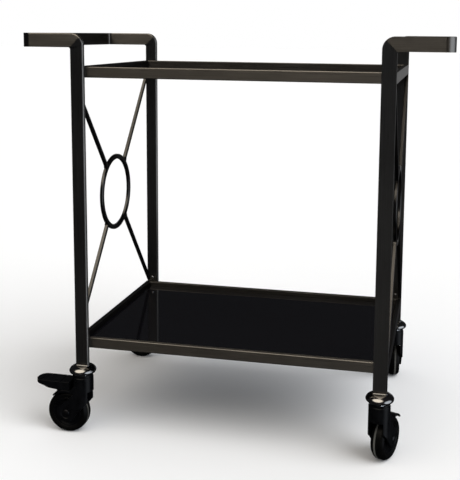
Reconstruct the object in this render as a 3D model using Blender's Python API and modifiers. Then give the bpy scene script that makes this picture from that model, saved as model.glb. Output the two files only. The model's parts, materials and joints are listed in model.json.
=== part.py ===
"""Bar cart on four swivel casters.

A frame of flat steel bar carries two shelves. Each end has two legs that bend outward at the top into
arms, and a crossbar that joins the arms as a push handle, with a ring held by four braces between the legs.
Each shelf is a frame of four mitred rails around a recessed panel of black glass. Each leg stands on a round
collar, a hexagonal stem and a caster.

Metres, +Z up. X runs from handle to handle and Y from front (-Y) to back. The origin is on the floor, under
the middle of the whole outline. The back right wheel trails out behind the legs, so the middle of the frame
is in front of the origin, at FRAME_Y.
"""

import math

import bmesh
import bpy
from mathutils import Matrix, Vector

PART_NAME = "bar_cart"
GAP = 0.0003  # space between pieces that rest on each other
NEAR = 0.0001  # tolerance for finding edges by their place

# Frame
FRAME_Y = -0.0218  # middle of the frame, along Y
LEG_X = 0.280  # leg centres, from the middle
LEG_Y = 0.2005
BAR_WIDTH = 0.0254
BAR_DEPTH = 0.0095
BAR_ROUNDING = 0.0030
HANDLE_TOP = 0.755
HANDLE_END_X = 0.3885
LEG_FOOT = 0.1325
BEND_OUTER = 0.022
BEND_INNER = 0.004
CORNER_OUTER = 0.0125
CORNER_INNER = 0.003
ARM_JOINT = 0.0150  # from the handle's end face to the joint between arm and crossbar

# Shelves
RAIL_HEIGHT = 0.0195
RAIL_DEPTH = 0.0095
RAIL_ROUNDING = 0.0018
UPPER_RAIL_TOP = 0.6947
LOWER_RAIL_TOP = 0.1848
GLASS_RECESS = 0.0093
GLASS_THICKNESS = 0.005
GLASS_CLEARANCE = 0.001
GLASS_ROUNDING = 0.0008
LEDGE_WIDTH = 0.012
LEDGE_THICKNESS = 0.002
LEDGE_END_CLEARANCE = 0.012

# Ring and braces
RING_RADIUS = 0.078
RING_WIDTH = 0.0100
SIDE_THICKNESS = 0.0065  # of the ring and the braces, along X
RING_CHAMFER = 0.0016
BRACE_WIDTH = 0.0070
BRACE_REACH_Z = 0.2380  # from the ring's centre up or down to a brace's end
BRACE_ROUNDING = 0.0012

# Casters, in their own frame: the swivel axis is Z, the wheel trails towards +X, the floor is Z = 0
TRAIL = 0.0285
WHEEL_RADIUS = 0.0400
TYRE_WIDTH = 0.0260
TYRE_INNER = 0.0280
TYRE_SHOULDER = ((0.0048, 0.0), (0.0018, 0.0020), (0.0, 0.0065))  # inset from the tread, inset from the side
TYRE_BED_INSET = 0.0020
HUB_SIDE = ((0.0085, 0.0132), (0.0100, 0.0092), (0.0235, 0.0084), (0.0248, 0.0105))  # radius, half width
AXLE_RADIUS = 0.0040
AXLE_HALF_LENGTH = 0.0175
SLOT_HALF_WIDTH = 0.0138
CHEEK_HALF_WIDTH = 0.0180
SLOT_RADIUS = 0.0425
SLOT_TOP = 0.0825
HOOD_RADIUS = 0.0452
HOOD_TIP = ((0.0434, 53.0), (0.0446, 60.0))  # radius, angle: the hood thins towards its end
SKIRT_RADIUS = 0.0408
HOOD_START_ANGLE = 100.0
HOOD_END_ANGLE = 52.0
HOOD_FULL_ANGLE = 67.0
HOOD_ROOT_X = 0.0100
BODY_FRONT = -0.0060  # of the strap and hood, inside the housing
BODY_TOP = 0.0950
BACK_SLOT_START = 0.0200
CUT_REACH = 0.0900  # far side of the cutters that shape the fork
CUT_MARGIN = 0.0300
CUT_FLOOR = -0.0100
BOSS_RADIUS = 0.0170
STRAP_ANGLE = 46.0  # direction of the strap's upper edge normal, from the trailing direction
HOUSING_RADIUS = 0.0197
HOUSING_TOP = 0.1107
HOUSING_STEP = 0.0710  # height of the step at the foot of the housing's front wall
HOUSING_FOOT = 0.0500
HOUSING_ROUNDING = 0.0016
HOUSING_CORNER = (-0.0135, 0.0625)  # where the housing's cut-back front meets the strap
NECK_RADIUS = 0.0188
NECK_TOP = 0.1158
STEM_RADIUS = 0.0060
STEM_FOOT = 0.0980
STEM_OVERLAP = 0.0010  # of the stem and its nut
NUT_RADIUS = 0.0205
NUT_BOTTOM = 0.1161
NUT_ROUNDING = 0.0004
COLLAR_RADIUS = 0.0252
COLLAR_TOP = LEG_FOOT - GAP
COLLAR_MIDDLE = 0.1229  # height at which the domed collar is widest
COLLAR_DOME = 0.0115  # rise of the complete dome; its top is cut flat under the leg
COLLAR_UNDERSIDE = ((0.0247, 0.1210), (0.0234, 0.1195), (0.0215, 0.1184))  # radius, height
COLLAR_BOTTOM = COLLAR_UNDERSIDE[-1][1]
PEDAL_HALF_WIDTH = 0.0180
PEDAL_FRONT = 0.0210
PEDAL_TIP = 0.0914
PEDAL_TOP = 0.1015
PEDAL_WALL = 0.0030
PEDAL_CORNER = 0.0160  # radius of the rounded tip
PEDAL_ROUNDING = 0.0015
PEDAL_SKIRT = 0.0780  # lowest height that the pedal's blank reaches
PEDAL_UNDERSIDE = (
    (0.1000, 0.0965),
    (0.0860, 0.0945),
    (0.0720, 0.0915),
    (0.0630, 0.0876),
    (0.0560, 0.0868),
    (0.0500, 0.0860),
    (0.0100, 0.0860),
)
PEDAL_ROOM_END = 0.0520
PIN_T = 0.0300
PIN_Z = 0.0920
PIN_RADIUS = 0.0022
LUG_HALF_WIDTH = 0.0110
LUG_RADIUS = 0.0045
LUG_FOOT = 0.0838
LUG_END = ((0.0485, 0.0895), (0.0495, 0.0794))  # the lug's far end, over the hood

# Name: leg signs along X and Y, direction the wheel trails in (degrees from +X), nut turn, brake
CASTERS = {
    "front_left": (-1, -1, 180.0, 35.0, True),
    "front_right": (1, -1, 70.5, 10.6, False),
    "back_left": (-1, 1, 180.0, 0.0, True),
    "back_right": (1, 1, 96.0, 20.0, False),
}

# Slot: colour, roughness, metallic
MATERIALS = {
    "frame_metal": ((0.035, 0.032, 0.028), 0.32, 0.85),
    "shelf_glass": ((0.004, 0.004, 0.005), 0.05, 0.0),
    "caster_chrome": ((0.72, 0.73, 0.75), 0.12, 1.0),
    "caster_plastic": ((0.010, 0.010, 0.012), 0.45, 0.0),
    "caster_tyre": ((0.015, 0.015, 0.016), 0.60, 0.0),
    "axle_steel": ((0.40, 0.40, 0.42), 0.30, 1.0),
}


def clear_scene():
    for item in list(bpy.data.objects):
        bpy.data.objects.remove(item)


def make_collection(name):
    collection = bpy.data.collections.new(name)
    bpy.context.scene.collection.children.link(collection)
    return collection


def make_materials():
    for slot, (colour, roughness, metallic) in MATERIALS.items():
        material = bpy.data.materials.new(slot)
        material.use_nodes = True
        shader = material.node_tree.nodes["Principled BSDF"]
        shader.inputs["Base Color"].default_value = (*colour, 1.0)
        shader.inputs["Roughness"].default_value = roughness
        shader.inputs["Metallic"].default_value = metallic


def add_pivot(name, location, turn=0.0, parent=None):
    """Adds an empty that carries other objects."""
    pivot = bpy.data.objects.new(name, None)
    pivot.location = location
    pivot.rotation_euler = (0.0, 0.0, math.radians(turn))
    pivot.parent = parent
    bpy.data.collections[PART_NAME].objects.link(pivot)
    return pivot


def add_part(name, mesh, slot, location=(0.0, 0.0, 0.0), turn=0.0, parent=None):
    """Adds a named sub-part, to the frame's pivot unless it has another; turn is about Z, in degrees."""
    part = bpy.data.objects.new(name, mesh)
    part.location = location
    part.rotation_euler = (0.0, 0.0, math.radians(turn))
    part.parent = parent or bpy.data.objects["frame_pivot"]
    bpy.data.collections[PART_NAME].objects.link(part)
    if not mesh.materials:
        mesh.materials.append(bpy.data.materials[slot])
    return part


def add_tool(name, mesh):
    """Adds an object that only shapes others."""
    tool = bpy.data.objects.new(name, mesh)
    tool.hide_render = True
    tool.display_type = "WIRE"
    bpy.data.collections["cutters"].objects.link(tool)
    return tool


def evaluated_mesh(source):
    """The mesh of an object with its modifiers, welded and facing out. The object is removed."""
    bpy.context.view_layer.update()
    depsgraph = bpy.context.evaluated_depsgraph_get()
    mesh = bpy.data.meshes.new_from_object(source.evaluated_get(depsgraph))
    mesh.transform(source.matrix_world)
    mesh.name = source.name
    bpy.data.objects.remove(source)
    clean = bmesh.new()
    clean.from_mesh(mesh)
    bmesh.ops.remove_doubles(clean, verts=clean.verts, dist=0.00001)
    bmesh.ops.recalc_face_normals(clean, faces=clean.faces)
    clean.to_mesh(mesh)
    clean.free()
    mesh.set_sharp_from_angle(angle=math.radians(35))
    return mesh


def arc(centre, radius, start, end, steps):
    """Points on an arc from start to end, in degrees."""
    points = []
    for k in range(steps + 1):
        angle = math.radians(start + (end - start) * k / steps)
        points.append((centre[0] + radius * math.cos(angle), centre[1] + radius * math.sin(angle)))
    return points


def plate_mesh(name, outline, thickness):
    """A flat outline in the XY plane, with its thickness centred on that plane."""
    curve = bpy.data.curves.new(name, "CURVE")
    curve.dimensions = "2D"
    curve.fill_mode = "BOTH"
    curve.extrude = thickness / 2
    spline = curve.splines.new("POLY")
    spline.points.add(len(outline) - 1)
    spline.use_cyclic_u = True
    for point, (u, v) in zip(spline.points, outline):
        point.co = (u, v, 0.0, 1.0)
    return evaluated_mesh(add_tool(name, curve))


def turned_mesh(name, profile, steps, closed=False):
    """A profile of (radius, height) points, from top to bottom on its outer side, turned about Z."""
    mesh = bpy.data.meshes.new(name)
    edges = [(k, k + 1) for k in range(len(profile) - 1)]
    if closed:
        edges.append((len(profile) - 1, 0))
    mesh.from_pydata([(radius, 0.0, height) for radius, height in profile], edges, [])
    source = add_tool(name, mesh)
    screw = source.modifiers.new("turn", "SCREW")
    screw.steps = steps
    screw.render_steps = steps
    screw.use_merge_vertices = True
    screw.merge_threshold = 0.00001
    screw.use_smooth_shade = True
    return evaluated_mesh(source)


def block_mesh(name, low, high):
    """A box between two corners."""
    mesh = bpy.data.meshes.new(name)
    shape = bmesh.new()
    bmesh.ops.create_cube(shape, size=1.0)
    low, high = Vector(low), Vector(high)
    bmesh.ops.scale(shape, vec=high - low, verts=shape.verts)
    bmesh.ops.translate(shape, vec=(low + high) / 2, verts=shape.verts)
    shape.to_mesh(mesh)
    shape.free()
    return mesh


def rod_mesh(name, radius, start, end, segments):
    """A cylinder or prism from start to end."""
    mesh = bpy.data.meshes.new(name)
    start, end = Vector(start), Vector(end)
    shape = bmesh.new()
    bmesh.ops.create_cone(
        shape, cap_ends=True, segments=segments, radius1=radius, radius2=radius, depth=(end - start).length
    )
    lean = (end - start).to_track_quat("Z", "Y").to_matrix().to_4x4()
    shape.transform(Matrix.Translation((start + end) / 2) @ lean)
    shape.to_mesh(mesh)
    shape.free()
    return mesh


def combined_mesh(name, base, steps):
    """Applies Boolean steps, each (operation, mesh), to a base mesh."""
    part = add_tool(name, base)
    for number, (operation, mesh) in enumerate(steps):
        modifier = part.modifiers.new(f"step_{number}", "BOOLEAN")
        modifier.solver = "EXACT"
        modifier.operation = operation
        modifier.object = add_tool(f"{name}_tool_{number}", mesh)
    return evaluated_mesh(part)


def rounded_mesh(mesh, width, segments, chosen=None):
    """Rounds a mesh's sharp edges, or only those that chosen(edge) accepts."""
    shape = bmesh.new()
    shape.from_mesh(mesh)
    weights = shape.edges.layers.float.new("bevel_weight_edge")
    for edge in shape.edges:
        sharp = edge.is_manifold and edge.calc_face_angle() > math.radians(30)
        edge[weights] = 1.0 if sharp and (chosen is None or chosen(edge)) else 0.0
    shape.to_mesh(mesh)
    shape.free()
    source = add_tool(mesh.name, mesh)
    bevel = source.modifiers.new("rounding", "BEVEL")
    bevel.limit_method = "WEIGHT"
    bevel.width = width
    bevel.segments = segments
    return evaluated_mesh(source)


def stand_up(mesh):
    """Turns a mesh from the XY plane into the XZ plane: its Y becomes Z and its thickness lies along Y."""
    mesh.transform(Matrix.Rotation(math.radians(90), 4, "X"))
    return mesh


def edge_middle(edge):
    return (edge.verts[0].co + edge.verts[1].co) / 2


# Frame


def leg_mesh(side):
    """A leg with its arm, in the XZ plane around Y = 0; side is -1 for left and 1 for right."""
    inner = LEG_X - BAR_WIDTH / 2
    outer = LEG_X + BAR_WIDTH / 2
    arm_end = HANDLE_END_X - ARM_JOINT - GAP
    arm_bottom = HANDLE_TOP - BAR_WIDTH
    outline = [(inner, LEG_FOOT), (outer, LEG_FOOT)]
    outline += arc((outer + BEND_INNER, arm_bottom - BEND_INNER), BEND_INNER, 180, 90, 4)
    outline += [(arm_end, arm_bottom), (arm_end, HANDLE_TOP)]
    outline += arc((inner + BEND_OUTER, HANDLE_TOP - BEND_OUTER), BEND_OUTER, 90, 180, 8)
    outline = [(side * x, z) for x, z in outline]
    mesh = stand_up(plate_mesh("leg", outline, BAR_DEPTH))

    def along_the_bar(edge):
        middle = edge_middle(edge)
        at_foot = middle.z < LEG_FOOT + NEAR
        at_joint = abs(middle.x) > arm_end - NEAR
        return not at_foot and not at_joint

    return rounded_mesh(mesh, BAR_ROUNDING, 2, along_the_bar)


def make_legs():
    for name, (side, depth, *_) in CASTERS.items():
        add_part(f"{name}_leg", leg_mesh(side), "frame_metal", (0.0, depth * LEG_Y, 0.0))


def make_handles():
    """The crossbar of each handle, with the bends that meet the arms."""
    for name, side in (("left", -1), ("right", 1)):
        joint = HANDLE_END_X - ARM_JOINT
        outer_y = LEG_Y + BAR_DEPTH / 2
        inner_y = LEG_Y - BAR_DEPTH / 2
        inner_x = HANDLE_END_X - BAR_DEPTH
        corner = HANDLE_END_X - CORNER_OUTER
        fillet = inner_x - CORNER_INNER
        outline = [(joint, -outer_y)]
        outline += arc((corner, -outer_y + CORNER_OUTER), CORNER_OUTER, -90, 0, 6)
        outline += arc((corner, outer_y - CORNER_OUTER), CORNER_OUTER, 0, 90, 6)
        outline += [(joint, outer_y), (joint, inner_y)]
        outline += arc((fillet, inner_y - CORNER_INNER), CORNER_INNER, 90, 0, 3)
        outline += arc((fillet, -inner_y + CORNER_INNER), CORNER_INNER, 0, -90, 3)
        outline += [(joint, -inner_y)]
        mesh = plate_mesh(f"{name}_handle", [(side * x, y) for x, y in outline], BAR_WIDTH)
        mesh = rounded_mesh(mesh, BAR_ROUNDING, 2, lambda edge: abs(edge_middle(edge).x) > joint + NEAR)
        add_part(f"{name}_handle", mesh, "frame_metal", (0.0, 0.0, HANDLE_TOP - BAR_WIDTH / 2))


# Shelves


def rail_mesh(half_length, half_other):
    """A mitred rail along X, on the -Y side of a frame with these half sizes."""
    outer = -half_other
    inner = outer + RAIL_DEPTH
    tip = half_length - GAP / 2
    outline = [(-tip, outer), (tip, outer), (tip - RAIL_DEPTH, inner), (RAIL_DEPTH - tip, inner)]
    mesh = plate_mesh("rail", outline, RAIL_HEIGHT)
    return rounded_mesh(
        mesh, RAIL_ROUNDING, 2, lambda edge: abs(edge.verts[0].co.x - edge.verts[1].co.x) > 3 * RAIL_DEPTH
    )


def make_shelf(name, rail_top):
    half_x = LEG_X + BAR_WIDTH / 2
    half_y = LEG_Y - BAR_DEPTH / 2 - GAP
    height = rail_top - RAIL_HEIGHT / 2
    for place, turn, length, other in (
        ("front", 0.0, half_x, half_y),
        ("right", 90.0, half_y, half_x),
        ("back", 180.0, half_x, half_y),
        ("left", 270.0, half_y, half_x),
    ):
        mesh = rail_mesh(length, other)
        add_part(f"{name}_{place}_rail", mesh, "frame_metal", (0.0, 0.0, height), turn)
    make_panel(name, rail_top - GLASS_RECESS, half_x - RAIL_DEPTH, half_y - RAIL_DEPTH)


def make_panel(name, glass_top, half_x, half_y):
    """The glass and the two ledges that it lies on."""
    across = half_x - GLASS_CLEARANCE
    along = half_y - GLASS_CLEARANCE
    glass_bottom = glass_top - GLASS_THICKNESS
    glass = block_mesh(f"{name}_glass", (-across, -along, glass_bottom), (across, along, glass_top))
    add_part(f"{name}_glass", rounded_mesh(glass, GLASS_ROUNDING, 1), "shelf_glass")
    ledge_top = glass_bottom - GAP
    reach = half_x - LEDGE_END_CLEARANCE
    for place, depth in (("front", -1), ("back", 1)):
        low = (-reach, half_y - GAP - LEDGE_WIDTH, ledge_top - LEDGE_THICKNESS)
        high = (reach, half_y - GAP, ledge_top)
        mesh = block_mesh(f"{name}_{place}_ledge", low, high)
        add_part(f"{name}_{place}_ledge", mesh, "frame_metal", turn=0.0 if depth > 0 else 180.0)


# Ring and braces


def ring_mesh():
    """The ring, around the X axis."""
    outer = RING_RADIUS
    inner = RING_RADIUS - RING_WIDTH
    half = SIDE_THICKNESS / 2
    profile = [
        (outer - RING_CHAMFER, half),
        (outer, half - RING_CHAMFER),
        (outer, RING_CHAMFER - half),
        (outer - RING_CHAMFER, -half),
        (inner + RING_CHAMFER, -half),
        (inner, RING_CHAMFER - half),
        (inner, half - RING_CHAMFER),
        (inner + RING_CHAMFER, half),
    ]
    mesh = turned_mesh("ring", profile, 40, closed=True)
    mesh.transform(Matrix.Rotation(math.radians(90), 4, "Y"))
    return mesh


def brace_mesh(depth, rise):
    """A brace in the YZ plane, from the ring towards a leg; depth and rise are its signs along Y and Z."""
    reach_y = LEG_Y - BAR_DEPTH / 2 - GAP
    direction = Vector((reach_y, BRACE_REACH_Z)).normalized()
    across = Vector((-direction.y, direction.x)) * BRACE_WIDTH / 2
    start = direction * (RING_RADIUS + GAP)
    slope = direction.y / direction.x
    outline = [start - across, start + across]
    for corner in (start + across, start - across):
        outline.append(Vector((reach_y, corner.y + (reach_y - corner.x) * slope)))
    points = [(depth * point.x, rise * point.y) for point in outline]
    mesh = plate_mesh("brace", points, SIDE_THICKNESS)
    mesh = rounded_mesh(mesh, BRACE_ROUNDING, 1, lambda edge: edge.calc_length() > 3 * BRACE_WIDTH)
    mesh.transform(Matrix(((0, 0, 1, 0), (1, 0, 0, 0), (0, 1, 0, 0), (0, 0, 0, 1))))
    return mesh


def make_side_frames():
    centre_z = (UPPER_RAIL_TOP - RAIL_HEIGHT + LOWER_RAIL_TOP) / 2
    centre_x = LEG_X + BAR_WIDTH / 2 - SIDE_THICKNESS / 2
    for name, side in (("left", -1), ("right", 1)):
        centre = (side * centre_x, 0.0, centre_z)
        add_part(f"{name}_ring", ring_mesh(), "frame_metal", centre)
        for place, depth in (("front", -1), ("back", 1)):
            for level, rise in (("upper", 1), ("lower", -1)):
                mesh = brace_mesh(depth, rise)
                add_part(f"{name}_{level}_{place}_brace", mesh, "frame_metal", centre)


# Casters


def collar_mesh():
    """The domed collar: flat under the leg, widest in the middle, narrower below."""
    flat = math.degrees(math.asin((COLLAR_TOP - COLLAR_MIDDLE) / COLLAR_DOME))
    profile = [(0.0, COLLAR_TOP)]
    for across, up in arc((0.0, 0.0), 1.0, flat, 0.0, 5):
        profile.append((across * COLLAR_RADIUS, COLLAR_MIDDLE + up * COLLAR_DOME))
    profile += [*COLLAR_UNDERSIDE, (0.0, COLLAR_BOTTOM)]
    return turned_mesh("collar", profile, 28)


def stem_mesh():
    """The hexagonal nut and the stem that turns in the housing."""
    nut = rod_mesh("nut", NUT_RADIUS, (0, 0, NUT_BOTTOM), (0, 0, COLLAR_BOTTOM - GAP), 6)
    nut = rounded_mesh(nut, NUT_ROUNDING, 1)
    stem = rod_mesh("stem", STEM_RADIUS, (0, 0, STEM_FOOT), (0, 0, NUT_BOTTOM + STEM_OVERLAP), 12)
    return combined_mesh("stem", nut, [("UNION", stem)])


def housing_mesh():
    """The turned housing, with the bore for the stem."""
    bore = STEM_RADIUS + GAP
    profile = [
        (0.0, STEM_FOOT - GAP),
        (bore, STEM_FOOT - GAP),
        (bore, NECK_TOP),
        (NECK_RADIUS, NECK_TOP),
        (NECK_RADIUS, HOUSING_TOP),
        (HOUSING_RADIUS - HOUSING_ROUNDING / 2, HOUSING_TOP - HOUSING_ROUNDING / 4),
        (HOUSING_RADIUS, HOUSING_TOP - HOUSING_ROUNDING),
        (HOUSING_RADIUS, HOUSING_FOOT),
        (0.0, HOUSING_FOOT),
    ]
    return turned_mesh("housing", profile, 28)


def along_the_wheel(name, outline, half_width):
    """An outline in the caster's XZ plane, as thick as twice half_width."""
    return stand_up(plate_mesh(name, outline, 2 * half_width))


def tangent_angle(point):
    """Angle on the boss, in degrees, where a line from a point in front of it touches its lower side."""
    away = Vector((point[0] - TRAIL, point[1] - WHEEL_RADIUS))
    direction = math.atan2(away.y, away.x)
    return math.degrees(direction + math.acos(BOSS_RADIUS / away.length))


def strap_outline():
    """The strap from the housing to the axle, and the hood over the wheel."""
    axle = (TRAIL, WHEEL_RADIUS)
    touch = tangent_angle(HOUSING_CORNER)
    lower = arc(axle, BOSS_RADIUS, touch, touch, 1)[0]
    slope = (lower[1] - HOUSING_CORNER[1]) / (lower[0] - HOUSING_CORNER[0])
    skirt_start = STRAP_ANGLE + math.degrees(math.acos(BOSS_RADIUS / SKIRT_RADIUS))
    outline = [(BODY_FRONT, HOUSING_CORNER[1] + (BODY_FRONT - HOUSING_CORNER[0]) * slope)]
    outline += arc(axle, BOSS_RADIUS, touch, 360 + STRAP_ANGLE, 14)
    outline += arc(axle, SKIRT_RADIUS, skirt_start, HOOD_END_ANGLE, 6)
    outline += [arc(axle, radius, angle, angle, 1)[0] for radius, angle in HOOD_TIP]
    outline += arc(axle, HOOD_RADIUS, HOOD_FULL_ANGLE, HOOD_START_ANGLE, 6)
    outline += [(HOOD_ROOT_X, BODY_TOP), (BODY_FRONT, BODY_TOP)]
    return outline


def fork_mesh(braked):
    """The swivelling body of a caster: housing, strap-shaped cheeks, hood and wheel slot."""
    axle = (TRAIL, WHEEL_RADIUS)
    wide = CUT_MARGIN
    lower = arc(axle, BOSS_RADIUS, tangent_angle(HOUSING_CORNER), tangent_angle(HOUSING_CORNER), 1)[0]
    wedge = [(-CUT_MARGIN, HOUSING_STEP), (-HOUSING_RADIUS, HOUSING_STEP), HOUSING_CORNER, lower]
    wedge += [(CUT_REACH, lower[1]), (CUT_REACH, CUT_FLOOR), (-CUT_MARGIN, CUT_FLOOR)]
    cut = along_the_wheel("wedge", wedge, wide)
    housing = combined_mesh("housing", housing_mesh(), [("DIFFERENCE", cut)])
    strap = along_the_wheel("strap", strap_outline(), CHEEK_HALF_WIDTH)
    slot = SLOT_HALF_WIDTH
    front_slot = block_mesh("front_slot", (-CUT_MARGIN, -slot, CUT_FLOOR), (TRAIL, slot, SLOT_TOP))
    wheel_slot = along_the_wheel("wheel_slot", arc(axle, SLOT_RADIUS, 0, 348.75, 31), slot)
    far_corner = (CUT_REACH, slot, WHEEL_RADIUS)
    back_slot = block_mesh("back_slot", (BACK_SLOT_START, -slot, CUT_FLOOR), far_corner)
    hole = AXLE_RADIUS + GAP
    bore = rod_mesh("bore", hole, (TRAIL, -wide, WHEEL_RADIUS), (TRAIL, wide, WHEEL_RADIUS), 16)
    steps = [("UNION", strap), ("DIFFERENCE", front_slot), ("DIFFERENCE", wheel_slot)]
    steps += [("DIFFERENCE", back_slot), ("DIFFERENCE", bore)]
    if braked:
        lug = arc((PIN_T, PIN_Z), LUG_RADIUS, 90, 180, 3)
        lug += [(PIN_T - LUG_RADIUS, LUG_FOOT), *reversed(LUG_END)]
        steps.append(("UNION", along_the_wheel("lug", lug, LUG_HALF_WIDTH)))
        pivot = rod_mesh("pivot", PIN_RADIUS + GAP, (PIN_T, -wide, PIN_Z), (PIN_T, wide, PIN_Z), 12)
        steps.append(("DIFFERENCE", pivot))
    return combined_mesh("fork", housing, steps)


def pedal_outline():
    """The pedal from above: straight sides and a rounded tip."""
    half = PEDAL_HALF_WIDTH
    tip = PEDAL_CORNER
    outline = [(PEDAL_FRONT, -half)]
    outline += arc((PEDAL_TIP - tip, -half + tip), tip, -90, 0, 5)
    outline += arc((PEDAL_TIP - tip, half - tip), tip, 0, 90, 5)
    outline += [(PEDAL_FRONT, half)]
    return outline


def pedal_mesh():
    """The brake pedal: a hollow paddle on a cross pin, around the pin's axis."""
    depth = PEDAL_TOP - PEDAL_SKIRT
    body = plate_mesh("pedal", pedal_outline(), depth)
    body.transform(Matrix.Translation((0, 0, PEDAL_TOP - depth / 2)))
    body = rounded_mesh(body, PEDAL_ROUNDING, 2, lambda edge: edge_middle(edge).z > PEDAL_TOP - NEAR)
    floor = PEDAL_SKIRT - PEDAL_WALL
    under = [*PEDAL_UNDERSIDE, (PEDAL_UNDERSIDE[-1][0], floor), (PEDAL_UNDERSIDE[0][0], floor)]
    inside = PEDAL_FRONT + PEDAL_WALL
    ceiling = PEDAL_TOP - PEDAL_WALL
    room = [(inside, floor), (inside, ceiling), (PEDAL_ROOM_END, ceiling), (PEDAL_ROOM_END, floor)]
    half = PEDAL_HALF_WIDTH - PEDAL_WALL
    reach = PEDAL_HALF_WIDTH - PEDAL_WALL / 2
    pin = rod_mesh("pin", PIN_RADIUS, (PIN_T, -reach, PIN_Z), (PIN_T, reach, PIN_Z), 12)
    steps = [
        ("DIFFERENCE", along_the_wheel("under", under, CUT_MARGIN)),
        ("DIFFERENCE", along_the_wheel("room", room, half)),
        ("UNION", pin),
    ]
    mesh = combined_mesh("pedal", body, steps)
    mesh.transform(Matrix.Translation((-PIN_T, 0, -PIN_Z)))
    return mesh


def lay_across(mesh):
    """Turns a mesh from the Z axis to the Y axis, the wheel's."""
    mesh.transform(Matrix.Rotation(math.radians(90), 4, "X"))
    return mesh


def tyre_mesh():
    half = TYRE_WIDTH / 2
    bed = half - TYRE_BED_INSET
    profile = [(WHEEL_RADIUS - drop, half - inset) for drop, inset in TYRE_SHOULDER]
    profile += [(radius, -height) for radius, height in reversed(profile)]
    profile += [(TYRE_INNER, -bed), (TYRE_INNER, bed)]
    return lay_across(turned_mesh("tyre", profile, 32, closed=True))


def hub_mesh():
    bore = AXLE_RADIUS + GAP
    rim = TYRE_INNER - GAP
    side = [(bore, HUB_SIDE[0][1]), *HUB_SIDE, (rim, HUB_SIDE[-1][1])]
    profile = side + [(radius, -height) for radius, height in reversed(side)]
    return lay_across(turned_mesh("hub", profile, 24, closed=True))


def axle_mesh():
    reach = AXLE_HALF_LENGTH
    return rod_mesh("axle", AXLE_RADIUS, (0, -reach, 0), (0, reach, 0), 16)


def make_casters():
    collar = collar_mesh()
    stem = stem_mesh()
    forks = {True: fork_mesh(True), False: fork_mesh(False)}
    pedal = pedal_mesh()
    tyre = tyre_mesh()
    hub = hub_mesh()
    axle = axle_mesh()
    for name, (side, depth, heading, nut_turn, braked) in CASTERS.items():
        foot = (side * LEG_X, depth * LEG_Y, 0.0)
        add_part(f"{name}_collar", collar, "frame_metal", foot)
        add_part(f"{name}_stem", stem, "caster_chrome", foot, nut_turn)
        swivel = add_pivot(f"{name}_swivel", foot, heading, bpy.data.objects["frame_pivot"])
        add_part(f"{name}_fork", forks[braked], "caster_plastic", parent=swivel)
        centre = (TRAIL, 0.0, WHEEL_RADIUS)
        add_part(f"{name}_tyre", tyre, "caster_tyre", centre, parent=swivel)
        add_part(f"{name}_hub", hub, "caster_plastic", centre, parent=swivel)
        add_part(f"{name}_axle", axle, "axle_steel", centre, parent=swivel)
        if braked:
            add_part(f"{name}_pedal", pedal, "caster_plastic", (PIN_T, 0.0, PIN_Z), parent=swivel)


def main():
    clear_scene()
    make_collection(PART_NAME)
    make_collection("cutters")
    add_pivot("frame_pivot", (0.0, FRAME_Y, 0.0))
    make_materials()
    make_legs()
    make_handles()
    make_shelf("upper", UPPER_RAIL_TOP)
    make_shelf("lower", LOWER_RAIL_TOP)
    make_side_frames()
    make_casters()


main()
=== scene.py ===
"""Looks of the bar cart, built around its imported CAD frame. Metres, +Z up, in the CAD's own frame."""

import json
import math

import bmesh
import bpy
from mathutils import Matrix, Vector


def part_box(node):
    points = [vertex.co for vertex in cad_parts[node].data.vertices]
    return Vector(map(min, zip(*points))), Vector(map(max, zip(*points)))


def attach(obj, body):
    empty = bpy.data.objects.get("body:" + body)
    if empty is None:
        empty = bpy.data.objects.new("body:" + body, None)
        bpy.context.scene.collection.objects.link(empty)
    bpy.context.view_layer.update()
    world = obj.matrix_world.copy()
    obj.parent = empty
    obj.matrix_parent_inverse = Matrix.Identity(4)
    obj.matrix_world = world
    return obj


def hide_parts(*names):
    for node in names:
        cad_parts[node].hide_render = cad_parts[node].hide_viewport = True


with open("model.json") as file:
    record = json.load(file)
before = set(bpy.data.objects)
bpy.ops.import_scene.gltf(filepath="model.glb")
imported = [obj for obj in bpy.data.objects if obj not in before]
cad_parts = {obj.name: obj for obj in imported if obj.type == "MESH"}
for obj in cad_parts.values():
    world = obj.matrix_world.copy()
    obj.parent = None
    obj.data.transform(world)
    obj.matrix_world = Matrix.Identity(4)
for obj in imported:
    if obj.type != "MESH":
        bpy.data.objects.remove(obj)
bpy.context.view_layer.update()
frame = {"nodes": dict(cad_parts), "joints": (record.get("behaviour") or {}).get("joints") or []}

GRAIN = "grain"  # UV map whose U runs along a bar
JOINTS = {joint["name"]: joint for joint in frame["joints"]}
CORNERS = {"front_left": (-1, -1), "front_right": (1, -1), "back_left": (-1, 1), "back_right": (1, 1)}
BRAKED = ("front_left", "back_left")

# Frame: sizes that the nodes' boxes don't give
BAR_ROUNDING = 0.0030
RAIL_ROUNDING = 0.0018
BEND_OUTER = 0.022
BEND_INNER = 0.004
CORNER_OUTER = 0.0165
CORNER_INNER = 0.003
RING_WIDTH = 0.010
RING_ROUNDING = 0.0018
BRACE_WIDTH = 0.0070
BRACE_RISE = 0.2380  # from the ring's centre to a brace's far end
BRACE_ROUNDING = 0.0014
MITRE_GAP = 0.00015
WELD_RADIUS = 0.0011
SCREW_RISE = 0.0085  # above the lower rails

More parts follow.
